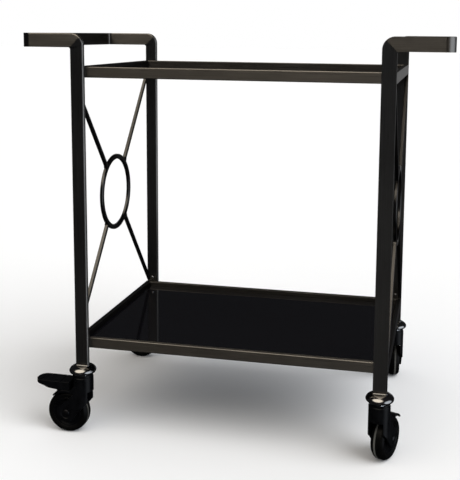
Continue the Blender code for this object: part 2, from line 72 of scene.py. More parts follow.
# Casters, in their own frame: the swivel axis is Z, the wheel trails towards +X, the floor is Z = 0
SLOT_HALF_WIDTH = 0.0138
CHEEK_HALF_WIDTH = 0.0180
SLOT_RADIUS = 0.0423
SLOT_TOP = 0.0825
HOOD_RADIUS = 0.0452
SKIRT_RADIUS = 0.0408
HOOD_START_ANGLE = 100.0
HOOD_FULL_ANGLE = 67.0
HOOD_END_ANGLE = 52.0
HOOD_TIP = ((0.0430, 51.5), (0.0438, 55.0), (0.0446, 60.0))  # radius, angle
BOSS_RADIUS = 0.0170
STRAP_ANGLE = 46.0
HOUSING_RADIUS = 0.0197
HOUSING_TOP = 0.1107
HOUSING_STEP = 0.0710
HOUSING_CORNER = (-0.0135, 0.0625)
COLLAR_MIDDLE = 0.1229
COLLAR_DOME = 0.0115
COLLAR_FLAT = 0.0140
NECK_RADIUS = 0.0188
NECK_TOP = 0.1158
STEM_BORE = 0.0063
STEM_FOOT = 0.0977
NUT_RADIUS = 0.0205
NUT_HEIGHT = 0.0020
NUT_CHAMFER = 0.0005
NUT_TURN = {"front_left": 35.0, "front_right": 10.6, "back_left": 0.0, "back_right": 20.0}
THREAD_CREST = 0.0060
THREAD_ROOT = 0.0054
THREAD_PITCH = 0.0012
AXLE_RADIUS = 0.0040
AXLE_HEAD = 0.0060
HUB_RIM = 0.0280
TYRE_HALF_WIDTH = 0.0130
TYRE_DROP = 0.0044  # from the tread's middle to its edge
# The tyre's painted highlight: a paler band of colour round the tread, where light catches its shoulder
TREAD_HIGHLIGHT_MIDDLE = 0.0036
TREAD_HIGHLIGHT_HALF_WIDTH = 0.0014
PIN_T = 0.0300
PIN_Z = 0.0920
PEDAL_HALF_WIDTH = 0.0180
PEDAL_FRONT = 0.0210
PEDAL_TIP = 0.0914
PEDAL_TOP = 0.1015
PEDAL_WALL = 0.0030
PEDAL_SKIRT = 0.0780
NOTCH = (0.0392, 0.0016, 0.0012)  # place, width, depth
GRIP_GROOVES = [(place, 0.0011, 0.0006) for place in (0.0700, 0.0740, 0.0780)]
LUG_HALF_WIDTH = 0.0110
LUG_ROUNDING = 0.0045
LUG_END = ((0.0495, 0.0794), (0.0485, 0.0895))
LUG_FOOT = 0.0838
FAR = 0.0900  # past the caster's end
MARGIN = 0.0300  # past the caster's sides

# Studio
CAMERA_PLACE = (0.38186, -1.69732, 0.75875)
CAMERA_YAW, CAMERA_PITCH, CAMERA_ROLL = 0.215, -0.1337, 0.0096
CAMERA_LENS = 65.34
CAMERA_SHIFT = (-0.0625, -0.1875)
KEY_FROM = (0.66, -0.28, 0.79)
KEY_STRENGTH = 1.84
KEY_WIDTH = 50.0
SKY_STRENGTH = 0.47
ROOM_COLOUR = (0.022, 0.022, 0.024)
SOFT_BOXES = (  # direction, cosines of the angles where it starts and is full, colour
    ((-0.20, -0.48, 0.85), 0.80, 0.91, (2.75, 2.48, 2.10)),
    ((0.96, -0.26, 0.10), 0.78, 0.90, (1.45, 1.56, 1.72)),
    ((0.10, 1.0, 0.0), 0.965, 0.992, (0.20, 0.20, 0.20)),
    ((0.05, -0.95, -0.29), 0.955, 0.995, (0.11, 0.11, 0.11)),
)

# Sockets of a colour Mix node, whose names aren't unique
MIX_A, MIX_B, MIX_RESULT = 6, 7, 2


# Materials


def new_material(name):
    material = bpy.data.materials.new(name)
    material.use_nodes = True
    return material, material.node_tree.nodes["Principled BSDF"]


def add_node(material, kind, links=None, **values):
    """Adds a node; values set its inputs by name, links maps input names to output sockets."""
    node = material.node_tree.nodes.new(kind)
    for name, value in values.items():
        node.inputs[name.replace("_", " ")].default_value = value
    for name, socket in (links or {}).items():
        material.node_tree.links.new(socket, node.inputs[name])
    return node


def noise(material, vector, scale, detail=3.0, roughness=0.5):
    return add_node(
        material, "ShaderNodeTexNoise", {"Vector": vector}, Scale=scale, Detail=detail, Roughness=roughness
    )


def ramp(material, factor, stops):
    node = add_node(material, "ShaderNodeValToRGB", {"Fac": factor})
    while len(node.color_ramp.elements) < len(stops):
        node.color_ramp.elements.new(0.5)
    for element, (position, colour) in zip(node.color_ramp.elements, stops):
        element.position = position
        element.color = (*colour, 1.0)
    return node.outputs["Color"]


def remap(material, value, low, high, to_low, to_high):
    node = add_node(material, "ShaderNodeMapRange", {"Value": value})
    for name, number in (("From Min", low), ("From Max", high), ("To Min", to_low), ("To Max", to_high)):
        node.inputs[name].default_value = number
    return node.outputs["Result"]


def set_bump(material, shader, height, strength, distance):
    bump = add_node(material, "ShaderNodeBump", {"Height": height}, Strength=strength, Distance=distance)
    material.node_tree.links.new(bump.outputs["Normal"], shader.inputs["Normal"])


def brushed_metal(name, dark, light, roughness, anisotropic):
    """Dark lacquered metal, brushed along the bars."""
    material, shader = new_material(name)
    link = material.node_tree.links.new
    grain = add_node(material, "ShaderNodeUVMap")
    grain.uv_map = GRAIN
    along_bar = {"Vector": grain.outputs["UV"]}
    stretch = add_node(material, "ShaderNodeMapping", along_bar, Scale=(9.0, 1400.0, 1.0))
    streaks = noise(material, stretch.outputs["Vector"], 1.0, 3.0, 0.6).outputs["Fac"]
    place = add_node(material, "ShaderNodeTexCoord").outputs["Object"]
    clouds = noise(material, place, 7.0, 4.0, 0.5).outputs["Fac"]
    wear = add_node(material, "ShaderNodeMath", {0: clouds, 1: streaks})
    wear.operation = "ADD"
    share = remap(material, wear.outputs["Value"], 0.7, 1.3, 0.0, 1.0)
    link(ramp(material, share, [(0.0, dark), (1.0, light)]), shader.inputs["Base Color"])
    link(remap(material, streaks, 0.3, 0.7, roughness - 0.05, roughness + 0.06), shader.inputs["Roughness"])
    shader.inputs["Metallic"].default_value = 1.0
    shader.inputs["Anisotropic"].default_value = anisotropic
    shader.inputs["Anisotropic Rotation"].default_value = 0.25
    tangent = add_node(material, "ShaderNodeTangent")
    tangent.direction_type = "UV_MAP"
    tangent.uv_map = GRAIN
    link(tangent.outputs["Tangent"], shader.inputs["Tangent"])
    set_bump(material, shader, streaks, 0.08, 0.0002)
    return material


def satin_black(name, dark, light, roughness, grain_size, bump, gloss):
    """Moulded plastic or rubber with a fine texture; gloss is the strength of its reflections."""
    material, shader = new_material(name)
    shader.inputs["Specular IOR Level"].default_value = gloss
    link = material.node_tree.links.new
    place = add_node(material, "ShaderNodeTexCoord").outputs["Object"]
    clouds = noise(material, place, 60.0, 3.0, 0.5).outputs["Fac"]
    pores = noise(material, place, grain_size, 2.0, 0.5).outputs["Fac"]
    link(ramp(material, clouds, [(0.35, dark), (0.7, light)]), shader.inputs["Base Color"])
    link(remap(material, clouds, 0.3, 0.7, roughness - 0.05, roughness + 0.06), shader.inputs["Roughness"])
    set_bump(material, shader, pores, bump, 0.0002)
    return material


def add_painted_tread_highlight(material, middle, half_width, colour):
    """A painted highlight: a paler band of colour round the tread, across the wheel's axis Y."""
    shader = material.node_tree.nodes["Principled BSDF"]
    plain = shader.inputs["Base Color"].links[0].from_socket
    place = add_node(material, "ShaderNodeTexCoord").outputs["Object"]
    across = add_node(material, "ShaderNodeSeparateXYZ", {"Vector": place}).outputs["Y"]
    offset = add_node(material, "ShaderNodeMath", {0: across})
    offset.operation = "SUBTRACT"
    offset.inputs[1].default_value = middle
    distance = add_node(material, "ShaderNodeMath", {0: offset.outputs["Value"]})
    distance.operation = "ABSOLUTE"
    share = remap(material, distance.outputs["Value"], half_width, half_width + 0.0006, 1.0, 0.0)
    painted_highlight = add_node(material, "ShaderNodeMix", {"Factor": share})
    painted_highlight.data_type = "RGBA"
    painted_highlight.inputs[MIX_B].default_value = (*colour, 1.0)
    material.node_tree.links.new(plain, painted_highlight.inputs[MIX_A])
    material.node_tree.links.new(painted_highlight.outputs[MIX_RESULT], shader.inputs["Base Color"])


def black_glass(name):
    material, shader = new_material(name)
    link = material.node_tree.links.new
    place = add_node(material, "ShaderNodeTexCoord").outputs["Object"]
    smudges = noise(material, place, 7.0, 5.0, 0.6).outputs["Fac"]
    dust = noise(material, place, 900.0, 2.0, 0.5).outputs["Fac"]
    link(remap(material, smudges, 0.35, 0.75, 0.03, 0.10), shader.inputs["Roughness"])
    clean, dusty = (0.003, 0.003, 0.004), (0.010, 0.010, 0.011)
    link(ramp(material, dust, [(0.62, clean), (0.80, dusty)]), shader.inputs["Base Color"])
    shader.inputs["IOR"].default_value = 1.5
    return material


def polished_metal(name, colour, roughness):
    material, shader = new_material(name)
    link = material.node_tree.links.new
    place = add_node(material, "ShaderNodeTexCoord").outputs["Object"]
    clouds = noise(material, place, 90.0, 3.0, 0.5).outputs["Fac"]
    duller = tuple(0.85 * channel for channel in colour)
    link(ramp(material, clouds, [(0.3, duller), (0.6, colour)]), shader.inputs["Base Color"])
    link(remap(material, clouds, 0.3, 0.7, roughness, roughness + 0.10), shader.inputs["Roughness"])
    shader.inputs["Metallic"].default_value = 1.0
    return material


METAL = brushed_metal("brushed_dark_metal", (0.134, 0.128, 0.119), (0.216, 0.206, 0.191), 0.32, 0.85)
# A darker copy of the brushed metal for the back rails, rings and braces: painted shade
SHADED_METAL = brushed_metal("painted_shade_metal", (0.055, 0.053, 0.051), (0.090, 0.087, 0.083), 0.30, 0.85)
DARK_CHROME = polished_metal("collar_dark_chrome", (0.29, 0.285, 0.28), 0.08)
PLASTIC = satin_black(
    "caster_black_plastic", (0.0010, 0.0011, 0.0014), (0.0022, 0.0024, 0.0032), 0.30, 2600.0, 0.08, 0.15
)
RUBBER = satin_black(
    "caster_black_tyre", (0.0010, 0.0010, 0.0010), (0.0020, 0.0020, 0.0020), 0.42, 1900.0, 0.15, 0.10
)
# The tyre's paler band is a painted highlight
add_painted_tread_highlight(RUBBER, TREAD_HIGHLIGHT_MIDDLE, TREAD_HIGHLIGHT_HALF_WIDTH, (0.075, 0.075, 0.070))
GLASS = black_glass("black_glass")
CHROME = polished_metal("caster_bright_chrome", (0.78, 0.79, 0.81), 0.06)
STEEL = polished_metal("screw_bright_steel", (0.42, 0.42, 0.44), 0.22)
AXLE_STEEL = polished_metal("axle_dark_steel", (0.035, 0.035, 0.038), 0.36)


# Mesh helpers


def arc(centre, radius, start, end, steps):
    """Points on an arc from start to end, in degrees."""
    points = []
    for k in range(steps + 1):
        angle = math.radians(start + (end - start) * k / steps)
        points.append((centre[0] + radius * math.cos(angle), centre[1] + radius * math.sin(angle)))
    return points


def helper(name, data):
    source = bpy.data.objects.new(name, data)
    bpy.context.scene.collection.objects.link(source)
    return source


def settled(source, extra=()):
    """The evaluated mesh of a helper, welded and facing out. The helper and the extras are removed."""
    bpy.context.view_layer.update()
    depsgraph = bpy.context.evaluated_depsgraph_get()
    mesh = bpy.data.meshes.new_from_object(source.evaluated_get(depsgraph))
    for item in (source, *extra):
        bpy.data.objects.remove(item)
    clean = bmesh.new()
    clean.from_mesh(mesh)
    bmesh.ops.remove_doubles(clean, verts=clean.verts, dist=0.000005)
    bmesh.ops.recalc_face_normals(clean, faces=clean.faces)
    clean.to_mesh(mesh)
    clean.free()
    return mesh


def plate(outline, thickness):
    """A flat outline in the XY plane, with its thickness centred on that plane."""
    curve = bpy.data.curves.new("plate", "CURVE")
    curve.dimensions = "2D"
    curve.fill_mode = "BOTH"
    curve.extrude = thickness / 2
    spline = curve.splines.new("POLY")
    spline.points.add(len(outline) - 1)
    spline.use_cyclic_u = True
    for point, (u, v) in zip(spline.points, outline):
        point.co = (u, v, 0.0, 1.0)
    return settled(helper("plate", curve))


def upright(mesh):
    """Turns a mesh from the XY plane into the XZ plane; its thickness then lies along Y."""
    mesh.transform(Matrix.Rotation(math.radians(90), 4, "X"))
    return mesh


def turned(profile, steps, closed=False):
    """A profile of (radius, height) points turned about Z."""
    shape = bmesh.new()
    verts = [shape.verts.new((radius, 0.0, height)) for radius, height in profile]
    edges = [shape.edges.new(pair) for pair in zip(verts, verts[1:])]
    if closed:
        edges.append(shape.edges.new((verts[-1], verts[0])))
    turn = {"cent": (0, 0, 0), "axis": (0, 0, 1), "angle": math.tau}
    bmesh.ops.spin(shape, geom=verts + edges, steps=steps, use_merge=True, **turn)
    bmesh.ops.remove_doubles(shape, verts=shape.verts, dist=0.000005)
    bmesh.ops.recalc_face_normals(shape, faces=shape.faces)
    mesh = bpy.data.meshes.new("turned")
    shape.to_mesh(mesh)
    shape.free()
    return mesh


def block(low, high):
    shape = bmesh.new()
    bmesh.ops.create_cube(shape, size=1.0)
    low, high = Vector(low), Vector(high)
    bmesh.ops.scale(shape, vec=high - low, verts=shape.verts)
    bmesh.ops.translate(shape, vec=(low + high) / 2, verts=shape.verts)
    mesh = bpy.data.meshes.new("block")
    shape.to_mesh(mesh)
    shape.free()
    return mesh


def rod(radius, start, end, segments):
    start, end = Vector(start), Vector(end)
    length = (end - start).length
    shape = bmesh.new()
    ends = {"cap_ends": True, "radius1": radius, "radius2": radius}
    bmesh.ops.create_cone(shape, segments=segments, depth=length, **ends)
    lean = (end - start).to_track_quat("Z", "Y").to_matrix().to_4x4()
    shape.transform(Matrix.Translation((start + end) / 2) @ lean)
    mesh = bpy.data.meshes.new("rod")
    shape.to_mesh(mesh)
    shape.free()
    return mesh


def combined(base, steps):
    """Applies Boolean steps, each (operation, mesh), to a base mesh."""
    part = helper("combined", base)
    tools = []
    for operation, mesh in steps:
        tools.append(helper("tool", mesh))
        modifier = part.modifiers.new(operation, "BOOLEAN")
        modifier.solver = "EXACT"
        modifier.operation = operation
        modifier.object = tools[-1]
    return settled(part, tools)


def rounded(mesh, width, segments, chosen=None):
    """Rounds a mesh's sharp edges, or only those that chosen(edge middle, edge length) accepts."""
    shape = bmesh.new()
    shape.from_mesh(mesh)
    weights = shape.edges.layers.float.new("bevel_weight_edge")
    for edge in shape.edges:
        middle = (edge.verts[0].co + edge.verts[1].co) / 2
        sharp = edge.is_manifold and edge.calc_face_angle() > math.radians(30)
        edge[weights] = 1.0 if sharp and (chosen is None or chosen(middle, edge.calc_length())) else 0.0
    shape.to_mesh(mesh)
    shape.free()
    source = helper("rounded", mesh)
    bevel = source.modifiers.new("rounding", "BEVEL")
    bevel.limit_method = "WEIGHT"
    bevel.width = width
    bevel.segments = segments
    return settled(source)


def moulded(mesh, voxel, passes, share):
    """Softens a mesh's edges and inside corners, as moulding does."""
    source = helper("moulded", mesh)
    remesh = source.modifiers.new("remesh", "REMESH")
    remesh.mode = "VOXEL"
    remesh.voxel_size = voxel
    smooth = source.modifiers.new("smooth", "SMOOTH")
    smooth.factor = 0.5
    smooth.iterations = passes
    decimate = source.modifiers.new("decimate", "DECIMATE")
    decimate.ratio = share
    return settled(source)


def cut_faces(mesh, point, normal):
    """Splits the faces that a plane crosses."""
    shape = bmesh.new()
    shape.from_mesh(mesh)
    geometry = shape.verts[:] + shape.edges[:] + shape.faces[:]
    bmesh.ops.bisect_plane(shape, geom=geometry, plane_co=point, plane_no=normal)
    shape.to_mesh(mesh)
    shape.free()
    return mesh


def lay_grain(mesh, direction_at):
    """Writes the UV map of the brushing: on each face U runs along direction_at(face centre)."""
    layer = mesh.uv_layers.new(name=GRAIN)
    for face in mesh.polygons:
        normal = face.normal
        along = Vector(direction_at(face.center))
        along -= normal * along.dot(normal)
        if along.length < 0.05:
            along = normal.orthogonal()
        along.normalize()
        across = normal.cross(along)
        for k in face.loop_indices:
            point = mesh.vertices[mesh.loops[k].vertex_index].co
            layer.data[k].uv = (point.dot(along), point.dot(across))
    return mesh


def add_piece(node, mesh, material, body, place=None, nodes=None):
    """Shows a mesh as the finished shape of a CAD node, riding on a body."""
    piece = bpy.data.objects.new(f"{node}_shape", mesh)
    bpy.context.scene.collection.objects.link(piece)
    if place is not None:
        piece.matrix_world = place
    if not mesh.materials:
        mesh.materials.append(material)
        mesh.shade_smooth()
        mesh.set_sharp_from_angle(angle=math.radians(38))
    weighted = piece.modifiers.new("normals", "WEIGHTED_NORMAL")
    weighted.keep_sharp = True
    weighted.weight = 60
    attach(piece, body)
    replaced = [node] if nodes is None else nodes
    if replaced:
        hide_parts(*replaced)
    return piece


# Frame


def add_legs():
    bar_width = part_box("left_handle")[1].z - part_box("left_handle")[0].z
    for name, (side, _) in CORNERS.items():
        low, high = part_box(f"{name}_leg")
        hand_low, hand_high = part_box("left_handle" if side < 0 else "right_handle")
        joint = min(abs(hand_low.x), abs(hand_high.x))
        inner = min(abs(low.x), abs(high.x))
        outer = inner + bar_width
        top, foot = high.z, low.z
        arm_bottom = top - bar_width
        middle_y = (low.y + high.y) / 2
        outline = [(inner, foot), (outer, foot)]
        outline += arc((outer + BEND_INNER, arm_bottom - BEND_INNER), BEND_INNER, 180, 90, 12)
        outline += [(joint, arm_bottom), (joint, top)]
        outline += arc((inner + BEND_OUTER, top - BEND_OUTER), BEND_OUTER, 90, 180, 28)
        mesh = upright(plate([(side * x, z) for x, z in outline], high.y - low.y))

        def between_ends(middle, _):
            return middle.z > foot + 0.0001 and abs(middle.x) < joint - 0.0001

        mesh = rounded(mesh, BAR_ROUNDING, 5, between_ends)
        mesh.transform(Matrix.Translation((0, middle_y, 0)))
        cut_faces(mesh, (side * inner, middle_y, top), (side, 0, 1))

        def direction(centre):
            on_arm = abs(centre.x) - inner + centre.z - top > 0
            return (1, 0, 0) if on_arm else (0, 0, 1)

        add_piece(f"{name}_leg", lay_grain(mesh, direction), METAL, "frame")


def add_handles():
    for name, side in (("left_handle", -1), ("right_handle", 1)):
        low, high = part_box(name)
        end, joint = max(abs(low.x), abs(high.x)), min(abs(low.x), abs(high.x))
        middle = (low + high) / 2
        outer_y = (high.y - low.y) / 2
        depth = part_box("front_left_leg")[1].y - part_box("front_left_leg")[0].y
        inner_y, inner_x = outer_y - depth, end - depth
        corner_x, corner_y = end - CORNER_OUTER, outer_y - CORNER_OUTER
        fillet_x, fillet_y = inner_x - CORNER_INNER, inner_y - CORNER_INNER
        outline = [(joint, -outer_y)]
        outline += arc((corner_x, -corner_y), CORNER_OUTER, -90, 0, 18)
        outline += arc((corner_x, corner_y), CORNER_OUTER, 0, 90, 18)
        outline += [(joint, outer_y), (joint, inner_y)]
        outline += arc((fillet_x, fillet_y), CORNER_INNER, 90, 0, 8)
        outline += arc((fillet_x, -fillet_y), CORNER_INNER, 0, -90, 8)
        outline += [(joint, -inner_y)]
        mesh = plate([(side * x, y) for x, y in outline], high.z - low.z)
        mesh = rounded(mesh, BAR_ROUNDING, 5, lambda place, _: abs(place.x) > joint + 0.0001)
        for sign in (-1, 1):
            cut_faces(mesh, (0, sign * corner_y, 0), (0, 1, 0))

        def direction(centre):
            if abs(centre.y) < corner_y:
                return (0, 1, 0)
            away = Vector((centre.x - side * corner_x, centre.y - math.copysign(corner_y, centre.y), 0))
            if abs(centre.x) < corner_x or away.length < 0.001:
                return (1, 0, 0)
            return (-away.y, away.x, 0)

        lay_grain(mesh, direction)
        mesh.transform(Matrix.Translation((0, middle.y, middle.z)))
        add_piece(name, mesh, METAL, "frame")


def add_rails():
    """Eight rails with closed mitres."""
    for level in ("upper", "lower"):
        for place, turn in (("front", 0), ("right", 90), ("back", 180), ("left", 270)):
            node = f"{level}_{place}_rail"
            low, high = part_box(node)
            size = high - low
            long, deep = max(size.x, size.y), min(size.x, size.y)
            tip = long / 2 + MITRE_GAP
            outline = [(-tip, -deep / 2), (tip, -deep / 2), (tip - deep, deep / 2), (deep - tip, deep / 2)]
            mesh = rounded(plate(outline, size.z), RAIL_ROUNDING, 5, lambda _, length: length > 3 * deep)
            lay_grain(mesh, lambda centre: (1, 0, 0))
            mesh.transform(Matrix.Rotation(math.radians(turn), 4, "Z"))
            mesh.transform(Matrix.Translation((low + high) / 2))
            # The back rails take the darker copy of the metal: painted shade
            metal = SHADED_METAL if place == "back" else METAL
            add_piece(node, mesh, metal, "frame")


def add_rings():
    for name in ("left_ring", "right_ring"):
        low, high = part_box(name)
        centre = (low + high) / 2
        outer = (high.z - low.z) / 2
        half = (high.x - low.x) / 2
        inner = outer - RING_WIDTH
        curve = RING_ROUNDING
        profile = arc((outer - curve, half - curve), curve, 90, 0, 5)
        profile += arc((outer - curve, curve - half), curve, 0, -90, 5)
        profile += arc((inner + curve, curve - half), curve, 270, 180, 5)
        profile += arc((inner + curve, half - curve), curve, 180, 90, 5)
        mesh = turned(profile, 144, closed=True)
        lay_grain(mesh, lambda place: (-place.y, place.x, 0))
        mesh.transform(Matrix.Translation(centre) @ Matrix.Rotation(math.radians(90), 4, "Y"))
        # The rings take the darker copy of the metal: painted shade
        add_piece(name, mesh, SHADED_METAL, "frame")


def add_braces():
    """Eight braces, flared by the weld where they meet the ring."""
    for side in ("left", "right"):
        low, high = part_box(f"{side}_ring")
        centre = (low + high) / 2
        radius = (high.z - low.z) / 2
        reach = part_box("back_left_leg")[0].y - centre.y
        direction = Vector((reach, BRACE_RISE)).normalized()
        across = Vector((-direction.y, direction.x))
        half = BRACE_WIDTH / 2
        flare = [(-0.0004, 0.0026), (0.0006, 0.0016), (0.0016, 0.0009), (0.0030, 0.0004), (0.0050, 0.0)]
        near = [direction * (radius + step) + across * (half + spread) for step, spread in flare]
        far_side = [direction * (radius + step) - across * (half + spread) for step, spread in flare]
        slope = direction.y / direction.x
        ends = [Vector((reach, edge.y + (reach - edge.x) * slope)) for edge in (near[-1], far_side[-1])]
        outline = near + ends + far_side[::-1]
        for place, depth in (("front", -1), ("back", 1)):
            for level, rise in (("upper", 1), ("lower", -1)):
                mesh = plate([(depth * p.x, rise * p.y) for p in outline], high.x - low.x)
                mesh = rounded(mesh, BRACE_ROUNDING, 3, lambda _, length: length > 0.010)
                lay_grain(mesh, lambda _: (depth * direction.x, rise * direction.y, 0))
                mesh.transform(Matrix(((0, 0, 1, 0), (1, 0, 0, 0), (0, 1, 0, 0), (0, 0, 0, 1))))
                mesh.transform(Matrix.Translation(centre))
                # The braces take the darker copy of the metal: painted shade
                add_piece(f"{side}_{level}_{place}_brace", mesh, SHADED_METAL, "frame")


def screw_mesh():
    """A pan head with a cross recess, standing up from the XY plane."""
    profile = [(0.0, -0.0004), (0.0026, -0.0004), (0.0026, 0.0006)]
    profile += [(0.0021, 0.0012), (0.0012, 0.0015), (0.0, 0.0016)]
    slot = block((-0.0014, -0.00028, 0.0006), (0.0014, 0.00028, 0.0030))
    cross = block((-0.00028, -0.0014, 0.0006), (0.00028, 0.0014, 0.0030))
    return combined(turned(profile, 36), [("DIFFERENCE", slot), ("DIFFERENCE", cross)])


def add_screws():
    """One screw on each leg's inner face, just above the lower shelf's rail."""
    mesh = screw_mesh()
    rail_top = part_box("lower_front_rail")[1].z
    for name, (_, depth) in CORNERS.items():
        low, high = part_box(f"{name}_leg")
        face = low.y if depth > 0 else high.y
        centre_x = JOINTS[f"{name}_swivel"]["pos_m"][0]
        place = Matrix.Translation((centre_x, face, rail_top + SCREW_RISE))
        place = place @ Matrix.Rotation(math.radians(90 * depth), 4, "X")
        add_piece(f"{name}_screw", mesh, STEEL, "frame", place, nodes=[])


# Casters


def caster_place(name):
    swivel = Vector(JOINTS[f"{name}_swivel"]["pos_m"])
    wheel = Vector(JOINTS[f"{name}_wheel_spin"]["pos_m"])
    trail = wheel - swivel
    swivel.z = 0.0
    return Matrix.Translation(swivel) @ Matrix.Rotation(math.atan2(trail.y, trail.x), 4, "Z")


def wheel_axle():
    """The wheel's centre in the caster's own frame: (distance behind the swivel axis, height)."""
    swivel = Vector(JOINTS["front_left_swivel"]["pos_m"])
    wheel = Vector(JOINTS["front_left_wheel_spin"]["pos_m"])
    return math.hypot(wheel.x - swivel.x, wheel.y - swivel.y), wheel.z


AXLE = wheel_axle()


def add_collars():
    low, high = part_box("front_left_collar")
    rim, top, bottom = (high.x - low.x) / 2, high.z, low.z
    flat = math.degrees(math.asin((top - COLLAR_MIDDLE) / COLLAR_DOME))
    profile = [(0.0, top), (COLLAR_FLAT, top)]
    for across, up in arc((0.0, 0.0), 1.0, flat, 0.0, 20):
        profile.append((across * rim, COLLAR_MIDDLE + up * COLLAR_DOME))
    under = COLLAR_MIDDLE - bottom
    profile += arc((rim - under, COLLAR_MIDDLE), under, -8, -90, 10)
    profile.append((0.0, bottom))
    mesh = turned(profile, 96)
    lay_grain(mesh, lambda place: (-place.y, place.x, 0))
    for name in CORNERS:
        low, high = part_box(f"{name}_collar")
        middle = (low + high) / 2
        place = Matrix.Translation((middle.x, middle.y, 0))
        add_piece(f"{name}_collar", mesh, DARK_CHROME, "frame", place)


def add_welds():
    """A bead of weld around each leg where it stands on its collar."""
    low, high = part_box("front_left_leg")
    bar_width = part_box("left_handle")[1].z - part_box("left_handle")[0].z
    half_x, half_y = bar_width / 2, (high.y - low.y) / 2
    outline = []
    for cx, cy, start in ((1, 1, 0), (-1, 1, 90), (-1, -1, 180), (1, -1, 270)):
        corner = (cx * (half_x - BAR_ROUNDING), cy * (half_y - BAR_ROUNDING))
        outline += arc(corner, BAR_ROUNDING + 0.0002, start, start + 90, 6)
    curve = bpy.data.curves.new("weld", "CURVE")
    curve.dimensions = "3D"
    curve.bevel_depth = WELD_RADIUS
    curve.bevel_resolution = 3
    spline = curve.splines.new("POLY")
    spline.points.add(len(outline) - 1)
    spline.use_cyclic_u = True
    for point, (u, v) in zip(spline.points, outline):
        point.co = (u, v, 0.0, 1.0)
    mesh = settled(helper("weld", curve))
    lay_grain(mesh, lambda _: (1, 0, 0))
    for name in CORNERS:
        collar_low, collar_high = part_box(f"{name}_collar")
        middle = (collar_low + collar_high) / 2
        place = Matrix.Translation((middle.x, middle.y, collar_high.z))
        add_piece(f"{name}_weld", mesh, DARK_CHROME, "frame", place, nodes=[])


def nut_mesh(bottom, top):
    """A hexagonal nut with chamfered corners above and below."""
    prism = rod(NUT_RADIUS, (0, 0, bottom), (0, 0, top), 6)
    face = NUT_RADIUS * math.cos(math.radians(30)) - 0.0003
    edge = NUT_RADIUS + 0.0001
    chamfer = [(0.0, top), (face, top), (edge, top - NUT_CHAMFER)]
    chamfer += [(edge, bottom + NUT_CHAMFER), (face, bottom), (0.0, bottom)]
    nut = combined(turned(chamfer, 96), [("INTERSECT", prism)])
    return rounded(nut, 0.00025, 2)


def add_stems():
    """Four threaded stems, each with its nut."""
    low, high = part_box("front_left_stem")
    bottom = high.z - NUT_HEIGHT
    inside_nut = bottom + 0.0008
    thread = [(0.0, inside_nut), (THREAD_CREST, inside_nut)]
    height = bottom
    while height > low.z + THREAD_PITCH:
        thread += [(THREAD_CREST, height), (THREAD_ROOT, height - THREAD_PITCH / 2)]
        height -= THREAD_PITCH
    thread += [(THREAD_ROOT, low.z), (0.0, low.z)]
    mesh = combined(nut_mesh(bottom, high.z), [("UNION", turned(thread, 40))])
    for name in CORNERS:
        low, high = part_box(f"{name}_stem")
        middle = (low + high) / 2
        turn = Matrix.Rotation(math.radians(NUT_TURN[name]), 4, "Z")
        place = Matrix.Translation((middle.x, middle.y, 0)) @ turn
        add_piece(f"{name}_stem", mesh, CHROME, "frame", place)


def along_the_wheel(outline, half_width):
    return upright(plate(outline, 2 * half_width))


def tangent_angle(point):
    """Angle on the boss, in degrees, where a line from a point in front of it touches its lower side."""
    away = Vector((point[0] - AXLE[0], point[1] - AXLE[1]))
    return math.degrees(math.atan2(away.y, away.x) + math.acos(BOSS_RADIUS / away.length))


def strap_outline():
    """The strap from the housing to the axle, and the hood over the wheel."""
    front = -0.0060
    touch = tangent_angle(HOUSING_CORNER)
    lower = arc(AXLE, BOSS_RADIUS, touch, touch, 1)[0]
    slope = (lower[1] - HOUSING_CORNER[1]) / (lower[0] - HOUSING_CORNER[0])
    skirt_start = STRAP_ANGLE + math.degrees(math.acos(BOSS_RADIUS / SKIRT_RADIUS))
    outline = [(front, HOUSING_CORNER[1] + (front - HOUSING_CORNER[0]) * slope)]
    outline += arc(AXLE, BOSS_RADIUS, touch, 360 + STRAP_ANGLE, 40)
    outline += arc(AXLE, SKIRT_RADIUS, skirt_start, HOOD_END_ANGLE, 18)
    outline += [arc(AXLE, radius, angle, angle, 1)[0] for radius, angle in HOOD_TIP]
    outline += arc(AXLE, HOOD_RADIUS, HOOD_FULL_ANGLE, HOOD_START_ANGLE, 20)
    outline += [(0.0100, 0.0950), (front, 0.0950)]
    return outline


